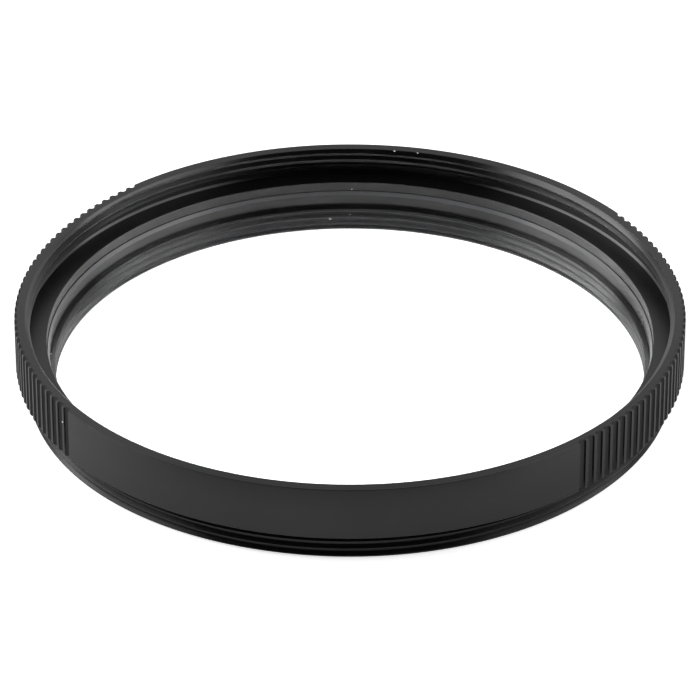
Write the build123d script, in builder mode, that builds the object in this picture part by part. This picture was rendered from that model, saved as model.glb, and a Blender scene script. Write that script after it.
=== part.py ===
from build123d import *
import os

# A screw-in UV filter for a camera lens, standing on its rear thread with the front side up.
# The optical axis is Z. The origin is on the axis, in the plane of the lowest face.

os.makedirs("parts", exist_ok=True)

# The screw thread, which is the same at the rear and in front
thread_r = 20.25              # nominal radius of the 40.5 mm filter thread
front_crest_cut = 0.2         # how far the crests of the front thread stand in from that radius
rear_thread_height = 1.9      # from the lowest face up to the shoulder
rear_thread_chamfer = 0.3
undercut_depth = 0.35         # groove between the rear thread and the shoulder
undercut_height = 0.35

# The grip band, which stands on the shoulder
rim_wall = 0.75               # from the thread radius out to the grip surface
band_height = 3.5
rim_chamfer = 0.1             # outer edge of the front face
lead_in = 0.29                # bevel where a second filter starts to screw in
shoulder_chamfer = 0.28       # lower edge of the band, just deeper than the flutes

# The recess in front of the glass
recess_depth = 1.77           # from the front face down to the flat ledge
relief_depth = 0.25           # clearance groove at the end of the front thread
relief_height = 0.7
relief_chamfer = 0.12

# The barrel under the ledge: the pocket for the glass, and the lip that the glass rests on
barrel_wall = 1.23            # from the thread radius in to the pocket
lip_width = 0.49
lip_height = 1.53

# The glass
glass_thickness = 0.62
glass_clearance = 0.04        # all round, in the pocket

# The snap ring that holds the glass down. It springs out into a groove of the pocket.
groove_depth = 0.35
retainer_clearance = 0.03     # to the groove, at the side and above
retainer_height = 0.82
retainer_stand = 0.17         # how far it stands in from the pocket's wall
retainer_bevel = 0.12         # width of the bevel along its upper inner edge
retainer_bevel_height = 0.24
retainer_gap = 1.2            # the slit that lets it spring

# The flutes of the grip: two equal groups, at the left and the right of the filter
flutes_per_side = 42
flute_pitch = 2.0             # degrees from one flute to the next
flute_start = 48.6            # degrees from the middle of the front panel to the first flute
panel_direction = -90         # the middle of the front panel, in degrees from the X axis
flute_width = 0.51            # a half-round groove, so it is half as deep
cutter_overrun = 0.5          # how far a cutter stands clear of the metal

# Radii and heights that follow from the sizes above
outer_r = thread_r + rim_wall
front_crest_r = thread_r - front_crest_cut
relief_r = thread_r + relief_depth
undercut_r = thread_r - undercut_depth
pocket_r = thread_r - barrel_wall
groove_r = pocket_r + groove_depth
aperture_r = pocket_r - lip_width
flute_r = flute_width / 2
shoulder_z = rear_thread_height
front_z = shoulder_z + band_height
ledge_z = front_z - recess_depth
relief_z = ledge_z + relief_height
undercut_z = shoulder_z - undercut_height
glass_z = lip_height
glass_r = pocket_r - glass_clearance
retainer_z = glass_z + glass_thickness
retainer_top = retainer_z + retainer_height
retainer_outer_r = groove_r - retainer_clearance
retainer_inner_r = pocket_r - retainer_stand
groove_top = retainer_top + retainer_clearance


def circle_at(part, radius, height):
    """The circular edge of a turned part that lies nearest to a radius and a height."""
    circles = part.edges().filter_by(GeomType.CIRCLE)
    return circles.sort_by(lambda edge: abs(edge.radius - radius) + abs(edge.center().Z - height))[0]


# The turned ring: rear thread, undercut, grip band, front thread, relief, ledge, pocket and lip
with BuildPart() as filter_ring:
    with BuildSketch(Plane.XZ):
        with BuildLine():
            Polyline(
                (aperture_r, 0),
                (thread_r, 0),
                (thread_r, undercut_z),
                (undercut_r, undercut_z),
                (undercut_r, shoulder_z),
                (outer_r, shoulder_z),
                (outer_r, front_z),
                (front_crest_r, front_z),
                (front_crest_r, relief_z),
                (relief_r, relief_z),
                (relief_r, ledge_z),
                (pocket_r, ledge_z),
                (pocket_r, groove_top),
                (groove_r, groove_top),
                (groove_r, retainer_z),
                (pocket_r, retainer_z),
                (pocket_r, glass_z),
                (aperture_r, glass_z),
                close=True,
            )
        make_face()
    revolve(axis=Axis.Z)

    chamfer(circle_at(filter_ring, outer_r, front_z), rim_chamfer)
    chamfer(circle_at(filter_ring, front_crest_r, front_z), lead_in)
    chamfer(circle_at(filter_ring, outer_r, shoulder_z), shoulder_chamfer)
    chamfer(circle_at(filter_ring, thread_r, 0), rear_thread_chamfer)
    chamfer(circle_at(filter_ring, relief_r, ledge_z), relief_chamfer)

    # The flutes run out through the front face and end in the lower bevel of the band
    flute_span = flute_pitch * (flutes_per_side - 1)
    first_right = panel_direction + flute_start
    first_left = panel_direction - flute_start - flute_span
    for first in (first_right, first_left):
        with Locations((0, 0, shoulder_z - cutter_overrun)):
            with PolarLocations(outer_r, flutes_per_side, first, flute_span, endpoint=True):
                Cylinder(
                    flute_r,
                    band_height + 2 * cutter_overrun,
                    align=(Align.CENTER, Align.CENTER, Align.MIN),
                    mode=Mode.SUBTRACT,
                )

# The snap ring lies on the glass, with a steep bevel above and its slit at the front panel
with BuildPart() as retaining_ring:
    with BuildSketch(Plane.XZ):
        with BuildLine():
            Polyline(
                (retainer_inner_r, retainer_z),
                (retainer_outer_r, retainer_z),
                (retainer_outer_r, retainer_top),
                (retainer_inner_r + retainer_bevel, retainer_top),
                (retainer_inner_r, retainer_top - retainer_bevel_height),
                close=True,
            )
        make_face()
    revolve(axis=Axis.Z)
    with Locations((0, 0, retainer_z)):
        Box(
            retainer_gap,
            2 * retainer_outer_r,
            retainer_height,
            align=(Align.CENTER, Align.MAX, Align.MIN),
            mode=Mode.SUBTRACT,
        )

# The glass disc lies on the lip
with BuildPart() as uv_glass:
    with BuildSketch(Plane.XY.offset(glass_z)):
        Circle(glass_r)
    extrude(amount=glass_thickness)

filter_ring.part.label = "filter_ring"
retaining_ring.part.label = "retaining_ring"
uv_glass.part.label = "uv_glass"

export_step(filter_ring.part, "parts/filter_ring.step")
export_step(retaining_ring.part, "parts/retaining_ring.step")
export_step(uv_glass.part, "parts/uv_glass.step")

print("outer diameter", round(2 * outer_r, 3), "height", round(front_z, 3))
print("clear aperture", round(2 * aperture_r, 3), "thinnest wall at a flute",
      round(rim_wall - flute_r - relief_depth, 3))
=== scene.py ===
# %% [markdown]
# A screw-in UV filter for a camera lens, standing on its rear thread with the front side up.
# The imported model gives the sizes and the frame: metres, Z up, and the optical axis on Z.
# Every piece below is made at its real place, so nothing has to be moved afterwards.

import math

import bmesh
import bpy
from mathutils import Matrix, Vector


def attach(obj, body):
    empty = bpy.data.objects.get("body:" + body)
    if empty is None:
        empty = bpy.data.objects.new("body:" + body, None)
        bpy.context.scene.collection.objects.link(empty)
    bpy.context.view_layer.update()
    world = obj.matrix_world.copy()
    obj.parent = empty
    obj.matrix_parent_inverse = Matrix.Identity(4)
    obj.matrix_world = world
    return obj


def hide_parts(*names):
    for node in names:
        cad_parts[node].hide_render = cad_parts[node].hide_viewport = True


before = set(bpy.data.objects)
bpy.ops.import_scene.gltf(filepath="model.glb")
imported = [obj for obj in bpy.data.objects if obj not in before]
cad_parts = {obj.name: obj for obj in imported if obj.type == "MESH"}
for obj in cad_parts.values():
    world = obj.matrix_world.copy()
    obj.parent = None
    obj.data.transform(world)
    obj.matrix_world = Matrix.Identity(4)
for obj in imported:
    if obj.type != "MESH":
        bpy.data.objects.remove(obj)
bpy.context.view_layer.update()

# %% [markdown]
# The photograph looks down on the filter by about 31 degrees. The far side of the ring looks
# hardly smaller than the near side, so it was taken from far away: a long lens at a distance
# of sixteen radii gives that look. The camera stands a little to the right of the front panel.

# %% Camera
mm = 0.001
ring_radius = 21.0 * mm
look_at = Vector((0, 0, 2.313 * mm))
camera_turn = math.radians(6.7)
camera_rise = math.radians(31.448)
camera_distance = 337.4 * mm
lens_length = 275.87
sensor_width = 36
nearest_seen = 0.01

direction = Vector((math.sin(camera_turn) * math.cos(camera_rise),
                    -math.cos(camera_turn) * math.cos(camera_rise),
                    math.sin(camera_rise)))
camera_data = bpy.data.cameras.new("camera")
camera_data.lens = lens_length
camera_data.sensor_width = sensor_width
camera_data.clip_start = nearest_seen
camera = bpy.data.objects.new("camera", camera_data)
camera.location = look_at + camera_distance * direction
camera.rotation_euler = direction.to_track_quat("Z", "Y").to_euler()
bpy.context.scene.collection.objects.link(camera)
bpy.context.scene.camera = camera
bpy.context.scene.view_settings.view_transform = "Standard"
print("camera stands", round(camera_distance / ring_radius, 2), "radii away")

# %% [markdown]
# Node trees are written here instead of being drawn with the mouse. Four small helpers keep
# that readable: one adds a node, one adds a step of arithmetic and gives back its result, one
# keeps a value between two limits, and one starts a tree with named inputs and outputs.

# %% Helpers for node trees
def add_node(tree, kind, inputs=None, **settings):
    """Adds a node, sets its options, and fills its inputs with numbers or links."""
    made = tree.nodes.new(kind)
    for name, value in settings.items():
        setattr(made, name, value)
    for name, value in (inputs or {}).items():
        if isinstance(value, bpy.types.NodeSocket):
            tree.links.new(value, made.inputs[name])
        else:
            made.inputs[name].default_value = value
    return made


def calc(tree, operation, *values):
    """One step of arithmetic on numbers or sockets."""
    made = add_node(tree, "ShaderNodeMath", dict(enumerate(values)), operation=operation)
    return made.outputs[0]


def keep_between(tree, value, low, high):
    """The value, or the limit that it has passed."""
    return calc(tree, "MINIMUM", calc(tree, "MAXIMUM", value, low), high)


def new_tree(name, kind, inputs, outputs):
    """A node tree with named inputs (name, kind, value) and outputs (name, kind)."""
    tree = bpy.data.node_groups.new(name, kind)
    for label, socket_kind, value in inputs:
        socket = tree.interface.new_socket(name=label, in_out="INPUT", socket_type=socket_kind)
        if value is not None:
            socket.default_value = value
    for label, socket_kind in outputs:
        tree.interface.new_socket(name=label, in_out="OUTPUT", socket_type=socket_kind)
    return tree, tree.nodes.new("NodeGroupInput"), tree.nodes.new("NodeGroupOutput")


# %% [markdown]
# The real ring is turned on a lathe, so its shape is a section spun about the axis. Each tree
# of Geometry Nodes below starts from the same idea. The section is a list of points, and a
# grid has one row for each of them and one column for each station around the ring. Every
# grid point is then moved to its place, and the seam where the ends meet is closed.

# %% Helpers for trees that spin a section
seam_distance = 0.0005 * mm


def count_points(tree, section):
    """How many points the section has."""
    count = add_node(tree, "GeometryNodeAttributeDomainSize", {"Geometry": section},
                     component="MESH")
    return count.outputs["Point Count"]


def lay_grid(tree, columns, rows):
    """A grid, and the column and the row of each of its points."""
    grid = add_node(tree, "GeometryNodeMeshGrid", {"Vertices X": columns, "Vertices Y": rows})
    index = add_node(tree, "GeometryNodeInputIndex").outputs[0]
    column = calc(tree, "FLOOR", calc(tree, "DIVIDE", calc(tree, "ADD", index, 0.5), rows))
    row = calc(tree, "SUBTRACT", index, calc(tree, "MULTIPLY", column, rows))
    return grid.outputs["Mesh"], column, row


def section_reader(tree, section, row):
    """A function that gives the value which the section's point of this row carries."""
    def read(name):
        value = add_node(tree, "GeometryNodeInputNamedAttribute", {"Name": name},
                         data_type="FLOAT")
        sample = add_node(tree, "GeometryNodeSampleIndex",
                          {"Geometry": section, "Value": value.outputs["Attribute"],
                           "Index": row},
                          data_type="FLOAT", domain="POINT")
        return sample.outputs["Value"]
    return read


def wrap_grid(tree, given, made, grid, radius, angle, height):
    """Moves the grid's points to their places around the axis, and closes the seam."""
    place = add_node(tree, "ShaderNodeCombineXYZ",
                     {"X": calc(tree, "MULTIPLY", radius, calc(tree, "COSINE", angle)),
                      "Y": calc(tree, "MULTIPLY", radius, calc(tree, "SINE", angle)),
                      "Z": height})
    moved = add_node(tree, "GeometryNodeSetPosition",
                     {"Geometry": grid, "Position": place.outputs[0]})
    closed = add_node(tree, "GeometryNodeMergeByDistance",
                      {"Geometry": moved.outputs[0], "Distance": seam_distance})
    real = add_node(tree, "GeometryNodeRealizeInstances", {"Geometry": closed.outputs[0]})
    finished = add_node(tree, "GeometryNodeSetMaterial",
                        {"Geometry": real.outputs[0], "Material": given.outputs["Material"]})
    tree.links.new(finished.outputs[0], made.inputs["Mesh"])


# %% [markdown]
# A screw thread is the same spun section with a twist: its points also climb by one pitch for
# each turn. How far a point stands out depends on where it is in its pitch. It is in a root at
# 0 and at 1, and on a crest at 0.5, and the flanks between them are straight. The bevel at
# the thread's mouth cuts the first crests down to a cone, as the lathe tool does.

# %% The tree that turns and threads a section
tiny = 1e-9


def ridge_share(tree, given, height, start, turn):
    """How far up its ridge a point is: 0 in a root, 1 on a crest."""
    raised = calc(tree, "DIVIDE", calc(tree, "SUBTRACT", height, start), given.outputs["Pitch"])
    phase = calc(tree, "FRACT", calc(tree, "SUBTRACT", raised, turn))
    off_crest = calc(tree, "ABSOLUTE", calc(tree, "SUBTRACT", phase, 0.5))
    half_crest = calc(tree, "MULTIPLY", given.outputs["Crest Flat"], 0.5)
    half_root = calc(tree, "MULTIPLY", given.outputs["Root Flat"], 0.5)
    flank = calc(tree, "SUBTRACT", calc(tree, "SUBTRACT", 0.5, half_root), half_crest)
    down = calc(tree, "DIVIDE", calc(tree, "SUBTRACT", off_crest, half_crest), flank)
    return calc(tree, "SUBTRACT", 1.0, keep_between(tree, down, 0.0, 1.0))


def cut_to_cone(tree, radius, height, read):
    """The radius after the bevel at the thread's mouth. It works for both kinds of thread."""
    side = calc(tree, "SIGN", calc(tree, "ADD", read("ridge"), tiny))
    away = calc(tree, "ABSOLUTE", calc(tree, "SUBTRACT", height, read("mouth_height")))
    cone = calc(tree, "ADD", calc(tree, "MULTIPLY", side, read("mouth_radius")), away)
    inner = calc(tree, "MINIMUM", calc(tree, "MULTIPLY", side, radius), cone)
    return calc(tree, "MULTIPLY", side, inner)


def turned_tree():
    """Spins a section, and threads it where its points carry a lead and a ridge."""
    tree, given, made = new_tree(
        "turn and thread a section", "GeometryNodeTree",
        [("Section", "NodeSocketGeometry", None), ("Stations", "NodeSocketInt", 360),
         ("Pitch", "NodeSocketFloat", 0.0005), ("Root Flat", "NodeSocketFloat", 0.25),
         ("Crest Flat", "NodeSocketFloat", 0.125), ("Material", "NodeSocketMaterial", None)],
        [("Mesh", "NodeSocketGeometry")])
    section = given.outputs["Section"]
    stations = given.outputs["Stations"]
    rows = count_points(tree, section)
    grid, column, row = lay_grid(tree, calc(tree, "ADD", stations, 1), rows)
    read = section_reader(tree, section, row)
    turn = calc(tree, "DIVIDE", column, stations)
    climb = calc(tree, "MULTIPLY", read("lead"), turn)
    height = calc(tree, "ADD", read("height"), climb)
    height = keep_between(tree, height, read("lowest"), read("highest"))
    share = ridge_share(tree, given, height, read("start"), turn)
    radius = calc(tree, "ADD", read("radius"), calc(tree, "MULTIPLY", read("ridge"), share))
    radius = cut_to_cone(tree, radius, height, read)
    angle = calc(tree, "MULTIPLY", turn, 2 * math.pi)
    wrap_grid(tree, given, made, grid, radius, angle, height)
    return tree


# %% [markdown]
# A section is kept as a mesh of loose points, which carry what the tree asks for: how high a
# point may climb, how deep its ridge is, and where the bevel at the thread's mouth begins.
# Filter threads of this size have a pitch of 0.5 mm. Each ridge gets seven points: the middle
# and the corners of its root, the corners of its crest, and the middle of both flanks.

# %% Sections as lists of points
pitch = 0.5 * mm
root_flat = 0.25
crest_flat = 0.125
thread_depth = 0.27 * mm
stations = 360
no_mouth = 1.0
carried = ("radius", "height", "lead", "lowest", "highest", "start", "ridge",
           "mouth_radius", "mouth_height")

root_end = root_flat / 2
crest_begin = 0.5 - crest_flat / 2
flank_middle = (root_end + crest_begin) / 2
ridge_corners = (0.0, root_end, flank_middle, crest_begin,
                 1 - crest_begin, 1 - flank_middle, 1 - root_end)


def plain(radius, height):
    """A point of the section that is spun straight round."""
    return dict(radius=radius, height=height, lead=0.0, lowest=height, highest=height,
                start=0.0, ridge=0.0, mouth_radius=no_mouth, mouth_height=height)


def thread(root_radius, ridge, low, high, start, mouth_radius, mouth_height, upwards):
    """The points of a threaded stretch, from below upwards or from above downwards."""
    points = []
    first = math.floor((low - pitch - start) / pitch)
    last = math.ceil((high - start) / pitch)
    for turn in range(first, last + 1):
        for phase in ridge_corners:
            height = start + (turn + phase) * pitch
            if low - pitch - tiny <= height <= high + tiny:
                points.append(dict(radius=root_radius, height=height, lead=pitch, lowest=low,
                                   highest=high, start=start, ridge=ridge,
                                   mouth_radius=mouth_radius, mouth_height=mouth_height))
    return points if upwards else points[::-1]


def section_object(name, points):
    """A mesh of loose points that carry the section's values."""
    mesh = bpy.data.meshes.new(name)
    mesh.from_pydata([(point["radius"], 0.0, point["height"]) for point in points], [], [])
    for field in carried:
        values = [point[field] for point in points]
        mesh.attributes.new(field, "FLOAT", "POINT").data.foreach_set("value", values)
    made = bpy.data.objects.new(name, mesh)
    bpy.context.scene.collection.objects.link(made)
    return made


def run_tree(tree, points, values):
    """Runs a tree on a section, and gives back the result as a plain mesh."""
    holder = section_object("section", points)
    modifier = holder.modifiers.new("shape", "NODES")
    modifier.node_group = tree
    for item in tree.interface.items_tree:
        if item.item_type == "SOCKET" and item.in_out == "INPUT" and item.name in values:
            modifier[item.identifier] = values[item.name]
    evaluated = holder.evaluated_get(bpy.context.evaluated_depsgraph_get())
    mesh = bpy.data.meshes.new_from_object(evaluated)
    holder.modifiers.remove(modifier)
    bpy.data.objects.remove(holder)
    return mesh


# %% [markdown]
# Going down on the inside of the ring there are the lead-in bevel, the front thread, a groove
# where the thread's tool ran out, the flat ledge, the pocket for the glass with the groove of
# its snap ring, and a bore with fine ridges, which keep stray light from shining off its wall.
# Going up on the outside there are the rear thread and the undercut below the shoulder.

# %% Sizes of the filter ring
front_z = 5.4 * mm
shoulder_z = 1.9 * mm
undercut_z = 1.55 * mm
relief_z = 4.33 * mm
ledge_z = 3.63 * mm
groove_top = 3.0 * mm
glass_top = 2.15 * mm
glass_low = 1.53 * mm

relief_r = 20.5 * mm
relief_bevel = 0.12 * mm
pocket_r = 19.02 * mm
groove_r = 19.37 * mm
aperture_r = 18.53 * mm
undercut_r = 19.9 * mm
edge_break = 0.03 * mm

front_root_r = 20.32 * mm
mouth_r = 20.34 * mm
first_crest_down = 0.30 * mm
thread_start = front_z - first_crest_down - 0.5 * pitch
rear_root_r = 19.98 * mm
rear_mouth_r = 20.12 * mm
rear_start = 0.1 * mm

ridge_height = 0.2 * mm
ridge_low = 0.12 * mm
ridge_high = 1.42 * mm
ridge_start = 0.02 * mm

# %% [markdown]
# One function makes all three threaded stretches. The front thread stands inwards from its
# root, the rear thread stands outwards, and the ridges of the bore are cut like a thread as
# well. The bore has no bevel at its mouth, so its cone is set far out of the way.

# %% Turn the inside and the lower outside of the ring
inside = [plain(mouth_r, front_z)]
inside += thread(front_root_r, -thread_depth, relief_z, front_z, thread_start,
                 mouth_r, front_z, upwards=False)
inside += [plain(relief_r, relief_z),
           plain(relief_r, ledge_z + relief_bevel),
           plain(relief_r - relief_bevel, ledge_z),
           plain(pocket_r + edge_break, ledge_z),
           plain(pocket_r, ledge_z - edge_break),
           plain(pocket_r, groove_top),
           plain(groove_r, groove_top),
           plain(groove_r, glass_top),
           plain(pocket_r, glass_top),
           plain(pocket_r, glass_low),
           plain(aperture_r + edge_break, glass_low),
           plain(aperture_r, glass_low - edge_break)]
inside += thread(aperture_r + ridge_height, -ridge_height, ridge_low, ridge_high, ridge_start,
                 -no_mouth, 0.0, upwards=False)
inside += [plain(aperture_r, ridge_low), plain(aperture_r + edge_break, 0.0)]

outside = thread(rear_root_r, thread_depth, 0.0, undercut_z, rear_start,
                 rear_mouth_r, 0.0, upwards=True)
outside += [plain(undercut_r, undercut_z), plain(undercut_r, shoulder_z)]

turned = turned_tree()
turned_values = {"Stations": stations, "Pitch": pitch, "Root Flat": root_flat,
                 "Crest Flat": crest_flat}
turned_mesh = run_tree(turned, inside + outside, turned_values)
print("turned shell:", len(turned_mesh.vertices), "points")

# %% [markdown]
# The grip is cut with a round tool, one flute every two degrees, in two groups of 42. The
# tree divides the whole turn into equal cells. Each cell is one flute, as a half circle seen
# from above, and the land beside it. Between the two groups the depth is zero, which leaves
# the plain panels in front and behind. Both groups lean a little towards the front panel.

# %% The tree that flutes the grip band
steps_in_flute = 10
steps_on_land = 3


def cell_shape(tree, given, step):
    """The angle from the middle of the flute, and the depth, at a step of its cell."""
    flute_r = given.outputs["Flute Radius"]
    half_angle = calc(tree, "ARCTAN2", flute_r, given.outputs["Outer Radius"])
    in_flute = calc(tree, "MINIMUM", step, float(steps_in_flute))
    swing = calc(tree, "MULTIPLY", in_flute, math.pi / steps_in_flute)
    aside = calc(tree, "MULTIPLY", half_angle, calc(tree, "COSINE", swing))
    past = calc(tree, "MAXIMUM", calc(tree, "SUBTRACT", step, float(steps_in_flute)), 0)
    cell_angle = calc(tree, "RADIANS", given.outputs["Flute Pitch"])
    land = calc(tree, "SUBTRACT", cell_angle, calc(tree, "MULTIPLY", half_angle, 2))
    on_land = calc(tree, "MULTIPLY", land, calc(tree, "DIVIDE", past, float(steps_on_land)))
    depth = calc(tree, "MULTIPLY", flute_r, calc(tree, "SINE", swing))
    return calc(tree, "SUBTRACT", on_land, aside), depth


def is_fluted(tree, given, middle, cell_angle):
    """1 for a cell in one of the two groups, and 0 for a cell in a plain panel."""
    reach = calc(tree, "MULTIPLY", calc(tree, "MULTIPLY", cell_angle, 0.5),
                 given.outputs["Flutes per Side"])
    return calc(tree, "GREATER_THAN", calc(tree, "ABSOLUTE", calc(tree, "COSINE", middle)),
                calc(tree, "COSINE", reach))


def lean_of(tree, given, middle):
    """How far a cell leans to the front. It fades out where the panels have their middle."""
    fade_rate = 3
    side = keep_between(tree, calc(tree, "MULTIPLY", calc(tree, "COSINE", middle), fade_rate),
                        -1, 1)
    return calc(tree, "MULTIPLY", side, calc(tree, "RADIANS", given.outputs["Lean"]))


def fluted_tree():
    """Spins the section of the band, and cuts its flutes."""
    tree, given, made = new_tree(
        "flute the grip band", "GeometryNodeTree",
        [("Section", "NodeSocketGeometry", None), ("Outer Radius", "NodeSocketFloat", 0.021),
         ("Flute Radius", "NodeSocketFloat", 0.000255), ("Flute Pitch", "NodeSocketFloat", 2.0),
         ("Flutes per Side", "NodeSocketInt", 42), ("Lean", "NodeSocketFloat", 0.4),
         ("Material", "NodeSocketMaterial", None)],
        [("Mesh", "NodeSocketGeometry")])
    section = given.outputs["Section"]
    steps = steps_in_flute + steps_on_land
    cell_angle = calc(tree, "RADIANS", given.outputs["Flute Pitch"])
    cells = calc(tree, "ROUND", calc(tree, "DIVIDE", 2 * math.pi, cell_angle))
    columns = calc(tree, "ADD", calc(tree, "MULTIPLY", cells, steps), 1)
    grid, column, row = lay_grid(tree, columns, count_points(tree, section))
    read = section_reader(tree, section, row)
    cell = calc(tree, "FLOOR", calc(tree, "DIVIDE", calc(tree, "ADD", column, 0.5), steps))
    step = calc(tree, "SUBTRACT", column, calc(tree, "MULTIPLY", cell, steps))
    middle = calc(tree, "MULTIPLY", calc(tree, "ADD", cell, 0.5), cell_angle)
    aside, depth = cell_shape(tree, given, step)
    angle = calc(tree, "ADD", middle, aside)
    angle = calc(tree, "SUBTRACT", angle, lean_of(tree, given, middle))
    depth = calc(tree, "MULTIPLY", depth, is_fluted(tree, given, middle, cell_angle))
    cut = calc(tree, "SUBTRACT", given.outputs["Outer Radius"], depth)
    radius = calc(tree, "MINIMUM", read("radius"), cut)
    wrap_grid(tree, given, made, grid, radius, angle, read("height"))
    return tree


# %% [markdown]
# The band's own section is short: a small bevel below, the wall, and a steep small bevel at
# the front rim. The flutes run out through both faces, so the edges of the band are notched.

# %% The grip band
rim_bevel = 0.04 * mm
rim_bevel_height = 0.1 * mm
low_bevel = 0.1 * mm
band_middle = shoulder_z + 1.7 * mm
flute_radius = 0.255 * mm
flute_pitch_degrees = 2.0
flutes_per_side = 42
lean_degrees = 0.4

band = [plain(ring_radius - low_bevel, shoulder_z),
        plain(ring_radius, shoulder_z + low_bevel),
        plain(ring_radius, band_middle),
        plain(ring_radius, front_z - rim_bevel_height),
        plain(ring_radius - rim_bevel, front_z)]
band_values = {"Outer Radius": ring_radius, "Flute Radius": flute_radius,
               "Flute Pitch": flute_pitch_degrees, "Flutes per Side": flutes_per_side,
               "Lean": lean_degrees}
band_mesh = run_tree(fluted_tree(), band, band_values)
print("fluted band:", len(band_mesh.vertices), "points")

# %% [markdown]
# The turned shell and the fluted band have different numbers of points around the ring. The
# flat front face and the flat shoulder join them. Each is closed by walking along both of its
# edges at once, and adding a triangle to whichever edge is behind.

# %% Helpers that join and finish meshes
def open_ring(shell, height, near_radius, reach=0.5 * mm):
    """The open edge of a shell at a height, as points in the order of their angle."""
    found = {point for edge in shell.edges if edge.is_boundary for point in edge.verts
             if abs(point.co.z - height) < 1e-6
             and abs(point.co.xy.length - near_radius) < reach}
    return sorted(found, key=lambda point: math.atan2(point.co.y, point.co.x))


def stitch(shell, first, second):
    """Closes the flat gap between two open rings that have different numbers of points."""
    def angle(ring, i):
        turns, place = divmod(i, len(ring))
        point = ring[place].co
        return math.atan2(point.y, point.x) + 2 * math.pi * turns

    i = 0
    j = 0
    while i < len(first) or j < len(second):
        a = first[i % len(first)]
        b = second[j % len(second)]
        first_is_behind = i < len(first) and angle(first, i + 1) <= angle(second, j + 1)
        if j >= len(second) or first_is_behind:
            i += 1
            shell.faces.new((a, b, first[i % len(first)]))
        else:
            j += 1
            shell.faces.new((a, b, second[j % len(second)]))


def finish_mesh(shell, name, sharp_degrees=25):
    """Turns a bmesh into an object, with its faces outwards and its real corners sharp."""
    bmesh.ops.recalc_face_normals(shell, faces=shell.faces)
    for face in shell.faces:
        face.smooth = True
    for edge in shell.edges:
        edge.smooth = edge.is_manifold and edge.calc_face_angle(0) < math.radians(sharp_degrees)
    mesh = bpy.data.meshes.new(name)
    shell.to_mesh(mesh)
    open_edges = sum(edge.is_boundary for edge in shell.edges)
    print(name, "has", len(shell.faces), "faces and", open_edges, "open edges")
    shell.free()
    made = bpy.data.objects.new(name, mesh)
    bpy.context.scene.collection.objects.link(made)
    return made


# %% [markdown]
# Where a threaded stretch ends, its last row starts and stops at different heights, which
# leaves a tiny triangular gap at the seam. These gaps are filled after the stitching.

# %% Join the band and the turned shell into one closed ring
no_length = 1e-8

shell = bmesh.new()
shell.from_mesh(turned_mesh)
inner_top = open_ring(shell, front_z, mouth_r)
inner_low = open_ring(shell, shoulder_z, undercut_r)
shell.from_mesh(band_mesh)
outer_top = [point for point in open_ring(shell, front_z, ring_radius - rim_bevel)
             if point not in set(inner_top)]
outer_low = [point for point in open_ring(shell, shoulder_z, ring_radius - low_bevel)
             if point not in set(inner_low)]
stitch(shell, inner_top, outer_top)
stitch(shell, inner_low, outer_low)
loose = [point for point in shell.verts if not point.link_faces]
bmesh.ops.delete(shell, geom=loose, context="VERTS")
bmesh.ops.dissolve_degenerate(shell, dist=no_length, edges=shell.edges)
seam_gaps = [edge for edge in shell.edges if edge.is_boundary]
bmesh.ops.holes_fill(shell, edges=seam_gaps, sides=3)
ring = finish_mesh(shell, "filter_ring_body")

# %% [markdown]
# The snap ring is bent from flat stock and springs out into its groove, so it has a slit,
# whose two ends stand parallel. Its upper inner edge has a steep bevel, so that it slides in
# over the glass. The slit lies behind the front panel, where the rim hides it.

# %% The snap ring
retainer_inner_r = 18.85 * mm
retainer_outer_r = 19.34 * mm
retainer_bevel_r = 18.97 * mm
retainer_bevel_z = 2.73 * mm
retainer_top = 2.97 * mm
slit_width = 1.2 * mm
slit_angle = -0.5 * math.pi


def split_ring(name, corners, gap):
    """A ring with a slit, turned from the corners of its section."""
    shell = bmesh.new()
    rows = []
    for station in range(stations + 1):
        row = []
        for radius, height in corners:
            half = math.asin(0.5 * gap / radius)
            angle = slit_angle + half + (2 * math.pi - 2 * half) * station / stations
            place = (radius * math.cos(angle), radius * math.sin(angle), height)
            row.append(shell.verts.new(place))
        rows.append(row)
    for here, there in zip(rows, rows[1:]):
        for i in range(len(corners)):
            j = (i + 1) % len(corners)
            shell.faces.new((here[i], here[j], there[j], there[i]))
    shell.faces.new(rows[0])
    shell.faces.new(rows[-1][::-1])
    return finish_mesh(shell, name)


retainer = split_ring("retaining_ring_body",
                      [(retainer_inner_r, glass_top), (retainer_outer_r, glass_top),
                       (retainer_outer_r, retainer_top), (retainer_bevel_r, retainer_top),
                       (retainer_inner_r, retainer_bevel_z)], slit_width)

# %% [markdown]
# The glass is a flat disc with a small bevel along both of its edges, because a sharp edge of
# glass would chip. It is a hair thinner than its room, so that no two surfaces coincide.

# %% The glass
glass_r = 18.98 * mm
glass_bevel = 0.08 * mm
glass_gap = 0.005 * mm
glass_floor = glass_low + glass_gap
glass_face = glass_top - glass_gap

glass_section = [plain(0.0, glass_floor), plain(glass_r - glass_bevel, glass_floor),
                 plain(glass_r, glass_floor + glass_bevel),
                 plain(glass_r, glass_face - glass_bevel),
                 plain(glass_r - glass_bevel, glass_face), plain(0.0, glass_face)]
shell = bmesh.new()
shell.from_mesh(run_tree(turned, glass_section, turned_values))
glass = finish_mesh(shell, "uv_glass_body")

# %% [markdown]
# Turned aluminium keeps fine circular tool marks, even under its black anodised layer. They
# depend only on the distance from the axis and on the height, so the shared groups read those
# two values. The first group gives the marks as a height for the bump, and slow clouds of
# tone for colour and roughness.

# %% Shared effect: turning marks
mm_per_metre = 1000.0
cloud_scale = 260.0


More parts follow.
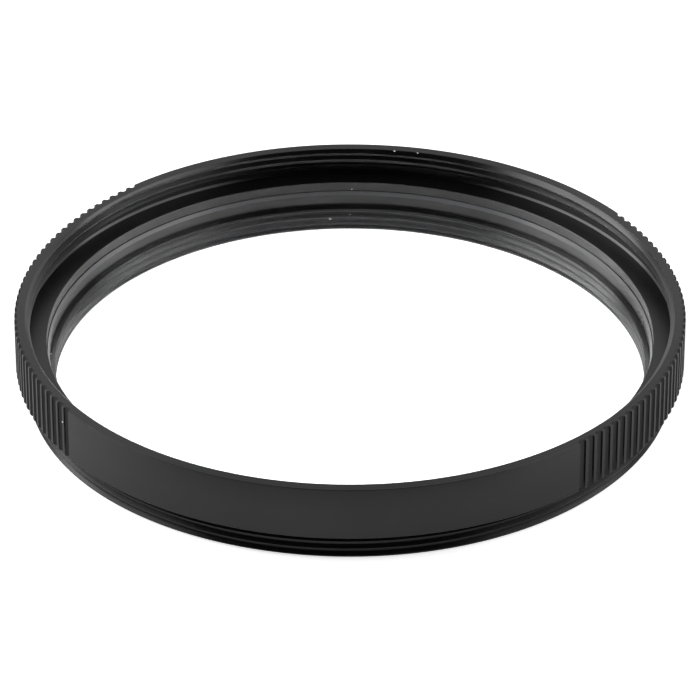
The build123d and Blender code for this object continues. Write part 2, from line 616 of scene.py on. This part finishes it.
def around_axis(tree):
    """Where a point is on the object, how far it is from the axis, and how high."""
    where = add_node(tree, "ShaderNodeTexCoord").outputs["Object"]
    split = add_node(tree, "ShaderNodeSeparateXYZ", {"Vector": where})
    flat = add_node(tree, "ShaderNodeVectorMath", {0: where, 1: (1, 1, 0)},
                    operation="MULTIPLY")
    radius = add_node(tree, "ShaderNodeVectorMath", {0: flat.outputs[0]}, operation="LENGTH")
    return where, radius.outputs["Value"], split.outputs["Z"]


def turning_group():
    """Fine circular tool marks: their height, and a slow change of tone."""
    tree, given, made = new_tree(
        "turning marks", "ShaderNodeTree",
        [("Marks per mm", "NodeSocketFloat", 14.0), ("Depth", "NodeSocketFloat", 1.0)],
        [("Height", "NodeSocketFloat"), ("Tone", "NodeSocketFloat")])
    where, radius, height = around_axis(tree)
    scale = calc(tree, "MULTIPLY", given.outputs["Marks per mm"], mm_per_metre)
    section = add_node(tree, "ShaderNodeCombineXYZ",
                       {"X": calc(tree, "MULTIPLY", radius, scale),
                        "Y": calc(tree, "MULTIPLY", height, scale)})
    marks = add_node(tree, "ShaderNodeTexNoise",
                     {"Vector": section.outputs[0], "Scale": 1.0, "Detail": 1.0},
                     noise_dimensions="2D")
    clouds = add_node(tree, "ShaderNodeTexNoise",
                      {"Vector": where, "Scale": cloud_scale, "Detail": 3.0})
    tree.links.new(calc(tree, "MULTIPLY", marks.outputs[0], given.outputs["Depth"]),
                   made.inputs["Height"])
    tree.links.new(calc(tree, "SUBTRACT", clouds.outputs[0], 0.5), made.inputs["Tone"])
    return tree


turning = turning_group()

# %% [markdown]
# Handling rubs the black layer off a sharp edge first, in small spots. The same lighter spots
# also stand in for the thin highlight along the edge, so the mark is partly wear and partly
# painted highlight. The edge is a circle, so the distance to it follows from its radius and its
# height. The mask is full on the edge, fades within 0.06 mm, and a fine noise picks the spots
# that have really worn.

# %% Shared effect: worn edge with painted highlight
spot_scale = 900.0
spot_least = 0.56
spot_full = 0.72


def edge_wear_and_highlight_group():
    """Where a sharp circular edge has lost its black layer to handling and carries a painted
    highlight, as a mask.
    """
    tree, given, made = new_tree(
        "edge wear and painted highlight", "ShaderNodeTree",
        [("Edge Radius", "NodeSocketFloat", 0.021), ("Edge Height", "NodeSocketFloat", 0.0054),
         ("Width", "NodeSocketFloat", 0.00006)],
        [("Mask", "NodeSocketFloat")])
    where, radius, height = around_axis(tree)
    aside = calc(tree, "SUBTRACT", radius, given.outputs["Edge Radius"])
    above = calc(tree, "SUBTRACT", height, given.outputs["Edge Height"])
    away = calc(tree, "SQRT", calc(tree, "ADD", calc(tree, "MULTIPLY", aside, aside),
                                   calc(tree, "MULTIPLY", above, above)))
    near = calc(tree, "SUBTRACT", 1.0, calc(tree, "DIVIDE", away, given.outputs["Width"]))
    spots = add_node(tree, "ShaderNodeTexNoise",
                     {"Vector": where, "Scale": spot_scale, "Detail": 4.0})
    picked = add_node(tree, "ShaderNodeMapRange",
                      {"Value": spots.outputs[0], "From Min": spot_least, "From Max": spot_full})
    mask = calc(tree, "MULTIPLY", calc(tree, "MAXIMUM", near, 0.0), picked.outputs[0])
    tree.links.new(mask, made.inputs["Mask"])
    return tree


edge_wear_and_highlight = edge_wear_and_highlight_group()

# %% [markdown]
# The colour is painted lighter low in the bore, as a painted reflection of the bright table
# close by, and on the bevel of the snap ring, as a painted highlight, as the photograph shows. A
# last group marks such a stretch: everything inside a radius, fading in from one height to
# another.

# %% Shared effect: stretch of painted light
# Its mask places painted light: a painted reflection low in the bore, and a painted highlight on
# the snap ring's bevel.
def painted_light_stretch_group():
    """A mask for the surfaces inside a radius, fading in from one height to another."""
    tree, given, made = new_tree(
        "painted light stretch", "ShaderNodeTree",
        [("Radius", "NodeSocketFloat", 0.019), ("Start", "NodeSocketFloat", 0.0),
         ("End", "NodeSocketFloat", 0.001)],
        [("Mask", "NodeSocketFloat")])
    _, radius, height = around_axis(tree)
    within = calc(tree, "LESS_THAN", radius, given.outputs["Radius"])
    fade = add_node(tree, "ShaderNodeMapRange",
                    {"Value": height, "From Min": given.outputs["Start"],
                     "From Max": given.outputs["End"]})
    tree.links.new(calc(tree, "MULTIPLY", within, fade.outputs[0]), made.inputs["Mask"])
    return tree


painted_light_stretch = painted_light_stretch_group()

# %% [markdown]
# Light on a turned surface fans out across its marks. The shader does that with a strong
# anisotropy, with its tangent around the axis. The colour is almost black, so nearly all that
# the camera sees is the soft shine of the layer. Both metal pieces share the recipe, and
# differ a little in roughness and in the depth of their marks.

# %% Black anodised finish with painted light
fan_strength = 0.85
fan_turn = 0.25
metal_ior = 1.5
# Lightness of the worn spots, which also serve as a painted highlight along the edge.
wear_and_highlight_level = 0.05
blue_share = 1.04
tone_in_roughness = 0.12
mark_height = 0.004 * mm
black_level = 0.002


def black_finish_with_painted_light(name, roughness, marks_depth, worn_and_highlit_edge, painted_light_where, painted_light_level):
    """Black anodised aluminium with turning marks, one worn edge with a painted highlight, and
    one stretch of painted light.
    """
    material = bpy.data.materials.new(name)
    material.use_nodes = True
    tree = material.node_tree
    shader = tree.nodes["Principled BSDF"]
    marks = add_node(tree, "ShaderNodeGroup", {"Depth": marks_depth}, node_tree=turning)
    worn_and_highlit = add_node(tree, "ShaderNodeGroup", worn_and_highlit_edge, node_tree=edge_wear_and_highlight)
    painted_light = add_node(tree, "ShaderNodeGroup", painted_light_where, node_tree=painted_light_stretch)

    tone = calc(tree, "ADD", 1.0, marks.outputs["Tone"])
    # The worn edge adds wear spots that also serve as a painted highlight. The stretch adds
    # painted light: a painted reflection of the table low in the bore, and a painted highlight
    # on the snap ring's bevel.
    level = calc(tree, "ADD", calc(tree, "MULTIPLY", tone, black_level),
                 calc(tree, "MULTIPLY", worn_and_highlit.outputs["Mask"], wear_and_highlight_level))
    level = calc(tree, "ADD", level,
                 calc(tree, "MULTIPLY", painted_light.outputs["Mask"], painted_light_level))
    colour = add_node(tree, "ShaderNodeCombineColor",
                      {"Red": level, "Green": level,
                       "Blue": calc(tree, "MULTIPLY", level, blue_share)})
    rough = calc(tree, "ADD", roughness,
                 calc(tree, "MULTIPLY", marks.outputs["Tone"], tone_in_roughness))
    bump = add_node(tree, "ShaderNodeBump", {"Height": marks.outputs["Height"],
                                             "Strength": 1.0, "Distance": mark_height})
    round_axis = add_node(tree, "ShaderNodeTangent", direction_type="RADIAL", axis="Z")
    tree.links.new(colour.outputs[0], shader.inputs["Base Color"])
    tree.links.new(rough, shader.inputs["Roughness"])
    tree.links.new(bump.outputs[0], shader.inputs["Normal"])
    tree.links.new(round_axis.outputs[0], shader.inputs["Tangent"])
    shader.inputs["Anisotropic"].default_value = fan_strength
    shader.inputs["Anisotropic Rotation"].default_value = fan_turn
    shader.inputs["IOR"].default_value = metal_ior
    return material


# The ring's front rim gets wear spots with a painted highlight. Its bore is painted lighter low
# down, as a painted reflection of the bright table.
ring_finish = black_finish_with_painted_light(
    "ring_black_anodised", roughness=0.31, marks_depth=1.0,
    worn_and_highlit_edge={"Edge Radius": ring_radius, "Edge Height": front_z},
    painted_light_where={"Radius": 18.8 * mm, "Start": 1.5 * mm, "End": 0.0}, painted_light_level=0.06)
# The snap ring's inner edge gets wear spots with a painted highlight. Its bevel is painted
# lighter, as a painted highlight.
retainer_finish = black_finish_with_painted_light(
    "retainer_black_anodised", roughness=0.3, marks_depth=0.6,
    worn_and_highlit_edge={"Edge Radius": retainer_inner_r, "Edge Height": retainer_bevel_z},
    painted_light_where={"Radius": 18.98 * mm, "Start": 2.725 * mm, "End": 2.735 * mm},
    painted_light_level=0.1)

# %% [markdown]
# The glass is coated on both sides, so it hardly shows but for its ground edge, which such
# filters have painted black. A faint film of dust makes the faces a little uneven. Shadow
# rays pass straight through them, because a lamp would otherwise throw noisy bright spots
# under the filter.

# %% Coated glass
glass_ior = 1.5
coating_level = 0.1
film_scale = 400.0
film_least = 0.985
film_roughness = 0.01


def glass_finish():
    """Clear coated glass, with a faint film."""
    material = bpy.data.materials.new("coated_glass")
    material.use_nodes = True
    tree = material.node_tree
    shader = tree.nodes["Principled BSDF"]
    where = add_node(tree, "ShaderNodeTexCoord").outputs["Object"]
    film = add_node(tree, "ShaderNodeTexNoise",
                    {"Vector": where, "Scale": film_scale, "Detail": 3.0})
    shade = add_node(tree, "ShaderNodeMapRange",
                     {"Value": film.outputs[0], "To Min": film_least, "To Max": 1.0})
    tint = add_node(tree, "ShaderNodeCombineColor",
                    {"Red": shade.outputs[0], "Green": 1.0, "Blue": shade.outputs[0]})
    tree.links.new(tint.outputs[0], shader.inputs["Base Color"])
    tree.links.new(calc(tree, "MULTIPLY", film.outputs[0], film_roughness),
                   shader.inputs["Roughness"])
    shader.inputs["IOR"].default_value = glass_ior
    shader.inputs["Specular IOR Level"].default_value = coating_level
    shader.inputs["Transmission Weight"].default_value = 1.0
    path = add_node(tree, "ShaderNodeLightPath")
    clear = add_node(tree, "ShaderNodeBsdfTransparent")
    mix = add_node(tree, "ShaderNodeMixShader")
    tree.links.new(path.outputs["Is Shadow Ray"], mix.inputs[0])
    tree.links.new(shader.outputs[0], mix.inputs[1])
    tree.links.new(clear.outputs[0], mix.inputs[2])
    tree.links.new(mix.outputs[0], tree.nodes["Material Output"].inputs["Surface"])
    return material


# %% [markdown]
# The paint on the ground edge is dull and black. A fine grain makes its tone and its
# roughness a little uneven.

# %% Painted edge of the glass
paint_grain = 9000.0
paint_level = 0.004
paint_roughness = 0.6
paint_unevenness = 0.3


def painted_edge():
    """The black paint on the ground edge of the glass."""
    material = bpy.data.materials.new("blackened_edge")
    material.use_nodes = True
    tree = material.node_tree
    shader = tree.nodes["Principled BSDF"]
    where = add_node(tree, "ShaderNodeTexCoord").outputs["Object"]
    grain = add_node(tree, "ShaderNodeTexNoise",
                     {"Vector": where, "Scale": paint_grain, "Detail": 2.0})
    level = calc(tree, "MULTIPLY", grain.outputs[0], paint_level)
    colour = add_node(tree, "ShaderNodeCombineColor",
                      {"Red": level, "Green": level, "Blue": level})
    rough = calc(tree, "ADD", paint_roughness,
                 calc(tree, "MULTIPLY", grain.outputs[0], paint_unevenness))
    tree.links.new(colour.outputs[0], shader.inputs["Base Color"])
    tree.links.new(rough, shader.inputs["Roughness"])
    shader.inputs["Specular IOR Level"].default_value = coating_level
    return material


# %% [markdown]
# Each piece gets its finish. The glass has two, so the faces out at its edge get the paint.

# %% Put the finishes on the pieces
painted_from_r = 18.89 * mm

ring.data.materials.append(ring_finish)
retainer.data.materials.append(retainer_finish)
glass.data.materials.append(glass_finish())
glass.data.materials.append(painted_edge())
for face in glass.data.polygons:
    nearest = min(glass.data.vertices[i].co.xy.length for i in face.vertices)
    face.material_index = 1 if nearest > painted_from_r else 0

# %% [markdown]
# A few specks of dust lie on the filter in the photograph. Each is a small flattened lump. It
# is set where the line of sight through its place in the picture first meets the filter.

# %% Specks of dust
import random

from mathutils.bvhtree import BVHTree

picture_size = 700
specks_seen = [(62.8, 422.0, 0.1), (330.0, 219.0, 0.085), (394.6, 151.0, 0.08),
               (417.7, 153.0, 0.06), (351.7, 189.3, 0.05), (350.0, 214.5, 0.04),
               (50.9, 353.8, 0.06), (679.0, 287.5, 0.05), (40.5, 371.5, 0.05)]
lump_least = 0.75
lump_most = 1.2
lump_width = 0.8
lump_height = 0.6
speck_sharp_degrees = 60
draw = random.Random(7)


def surface_tree(pieces):
    """One search tree over the faces of several pieces."""
    points = []
    faces = []
    for piece in pieces:
        first = len(points)
        points += [vertex.co.copy() for vertex in piece.data.vertices]
        faces += [tuple(first + i for i in face.vertices) for face in piece.data.polygons]
    return BVHTree.FromPolygons(points, faces)


def add_speck(shell, centre, outward, size):
    """One flattened lump of a few faces, which doesn't stand out past the front face."""
    made = bmesh.ops.create_icosphere(shell, subdivisions=1, radius=1.0)
    turn = outward.to_track_quat("Z", "Y")
    for vertex in made["verts"]:
        local = vertex.co * draw.uniform(lump_least, lump_most)
        local = Vector((local.x * size, local.y * size * lump_width,
                        local.z * size * lump_height))
        vertex.co = centre + turn @ local
        vertex.co.z = min(vertex.co.z, front_z)


surfaces = surface_tree((ring, retainer, glass))
specks = bmesh.new()
pixel = camera_data.sensor_width / camera_data.lens / picture_size
view_turn = camera.rotation_euler.to_quaternion()
for x, y, size in specks_seen:
    ray = Vector(((x - picture_size / 2) * pixel, (picture_size / 2 - y) * pixel, -1.0))
    place, normal, _, _ = surfaces.ray_cast(camera.location, view_turn @ ray)
    add_speck(specks, place, normal, size * mm)
dust = finish_mesh(specks, "dust_specks", speck_sharp_degrees)

# %% [markdown]
# Lint is pale, rough and a little uneven. One fine noise drives its colour, its roughness and
# its bump.

# %% Dust finish
fluff_scale = 20000.0
fluff_height = 0.01 * mm
fluff_level = 0.7
fluff_change = 0.25
fluff_roughness = 0.7
fluff_rough_change = 0.2


def dust_finish():
    """Pale lint and dust."""
    material = bpy.data.materials.new("dust")
    material.use_nodes = True
    tree = material.node_tree
    shader = tree.nodes["Principled BSDF"]
    where = add_node(tree, "ShaderNodeTexCoord").outputs["Object"]
    fluff = add_node(tree, "ShaderNodeTexNoise",
                     {"Vector": where, "Scale": fluff_scale, "Detail": 2.0})
    level = calc(tree, "ADD", fluff_level,
                 calc(tree, "MULTIPLY", fluff.outputs[0], fluff_change))
    colour = add_node(tree, "ShaderNodeCombineColor",
                      {"Red": level, "Green": level, "Blue": level})
    bump = add_node(tree, "ShaderNodeBump",
                    {"Height": fluff.outputs[0], "Distance": fluff_height})
    rough = calc(tree, "ADD", fluff_roughness,
                 calc(tree, "MULTIPLY", fluff.outputs[0], fluff_rough_change))
    tree.links.new(colour.outputs[0], shader.inputs["Base Color"])
    tree.links.new(bump.outputs[0], shader.inputs["Normal"])
    tree.links.new(rough, shader.inputs["Roughness"])
    return material


dust.data.materials.append(dust_finish())

# %% [markdown]
# The filter stands on a plain pale table. What the camera sees of the table, directly or
# through the glass, also glows a little, so that it comes out white without more light on
# the filter. Its mirror image in the metal gets a small share of that glow. The shadow of the
# ring stays on it.

# %% Floor
floor_half = 3
floor_shade = 0.8
glow_seen = 0.7
glow_in_shine = 0.1

floor_corners = [(-floor_half, -floor_half, 0), (floor_half, -floor_half, 0),
                 (floor_half, floor_half, 0), (-floor_half, floor_half, 0)]
floor_mesh = bpy.data.meshes.new("floor")
floor_mesh.from_pydata(floor_corners, [], [(0, 1, 2, 3)])
floor = bpy.data.objects.new("floor", floor_mesh)
bpy.context.scene.collection.objects.link(floor)
floor_material = bpy.data.materials.new("white_floor")
floor_material.use_nodes = True
floor_tree = floor_material.node_tree
floor_tree.nodes.remove(floor_tree.nodes["Principled BSDF"])
path = add_node(floor_tree, "ShaderNodeLightPath")
seen = calc(floor_tree, "MAXIMUM", path.outputs["Is Camera Ray"],
            path.outputs["Is Transmission Ray"])
shine = calc(floor_tree, "ADD", calc(floor_tree, "MULTIPLY", seen, glow_seen),
             calc(floor_tree, "MULTIPLY", path.outputs["Is Glossy Ray"], glow_in_shine))
glow = add_node(floor_tree, "ShaderNodeEmission", {"Color": (1, 1, 1, 1), "Strength": shine})
paper = add_node(floor_tree, "ShaderNodeBsdfDiffuse",
                 {"Color": (floor_shade, floor_shade, floor_shade, 1)})
both = add_node(floor_tree, "ShaderNodeAddShader")
floor_tree.links.new(glow.outputs[0], both.inputs[0])
floor_tree.links.new(paper.outputs[0], both.inputs[1])
floor_tree.links.new(both.outputs[0], floor_tree.nodes["Material Output"].inputs["Surface"])
floor.data.materials.append(floor_material)

# %% [markdown]
# The studio is a soft bright wall low down behind the filter and at its sides. It grows dark
# overhead and on the camera's side, which keeps the recess of the ring black. The camera
# itself sees plain white.

# %% Studio walls
bright_up_to = 0.25
dark_from = 0.75
overhead_level = 0.06
front_level = 0.1
back_level = 1.25
turn_over = 0.3

world = bpy.data.worlds.new("studio")
bpy.context.scene.world = world
world.use_nodes = True
world_tree = world.node_tree
backdrop = world_tree.nodes["Background"]
ray_kind = add_node(world_tree, "ShaderNodeLightPath")
facing = add_node(world_tree, "ShaderNodeTexCoord")
split = add_node(world_tree, "ShaderNodeSeparateXYZ", {"Vector": facing.outputs["Generated"]})
fade = add_node(world_tree, "ShaderNodeMapRange",
                {"Value": split.outputs["Z"], "From Min": bright_up_to, "From Max": dark_from,
                 "To Min": 1.0, "To Max": overhead_level}, interpolation_type="SMOOTHSTEP")
behind = add_node(world_tree, "ShaderNodeMapRange",
                  {"Value": split.outputs["Y"], "From Min": -turn_over, "From Max": turn_over,
                   "To Min": front_level, "To Max": back_level},
                  interpolation_type="SMOOTHSTEP")
walls = calc(world_tree, "MULTIPLY", fade.outputs[0], behind.outputs[0])
strength = calc(world_tree, "MAXIMUM", ray_kind.outputs["Is Camera Ray"], walls)
world_tree.links.new(strength, backdrop.inputs["Strength"])
backdrop.inputs["Color"].default_value = (1, 1, 1, 1)

# %% [markdown]
# One soft box at each side draws the light line along every flute. The left one is stronger,
# because the photograph is lighter towards the left end of the front panel.

# %% Soft boxes
box_size = (0.9, 0.7)
box_aside = 0.8
box_height = 0.55
left_power = 11.0
right_power = 7.5


def soft_box(name, place, power):
    """A large lamp that points at the filter."""
    light = bpy.data.lights.new(name, "AREA")
    light.shape = "RECTANGLE"
    light.size = box_size[0]
    light.size_y = box_size[1]
    light.energy = power
    lamp = bpy.data.objects.new(name, light)
    lamp.location = place
    lamp.rotation_euler = (-Vector(place)).to_track_quat("-Z", "Y").to_euler()
    bpy.context.scene.collection.objects.link(lamp)


soft_box("left soft box", (-box_aside, 0.0, box_height), left_power)
soft_box("right soft box", (box_aside, 0.0, box_height), right_power)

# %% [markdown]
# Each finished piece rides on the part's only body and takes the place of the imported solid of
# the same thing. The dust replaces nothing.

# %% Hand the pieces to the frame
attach(ring, "root")
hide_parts("filter_ring")
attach(glass, "root")
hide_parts("uv_glass")
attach(retainer, "root")
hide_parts("retaining_ring")
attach(dust, "root")
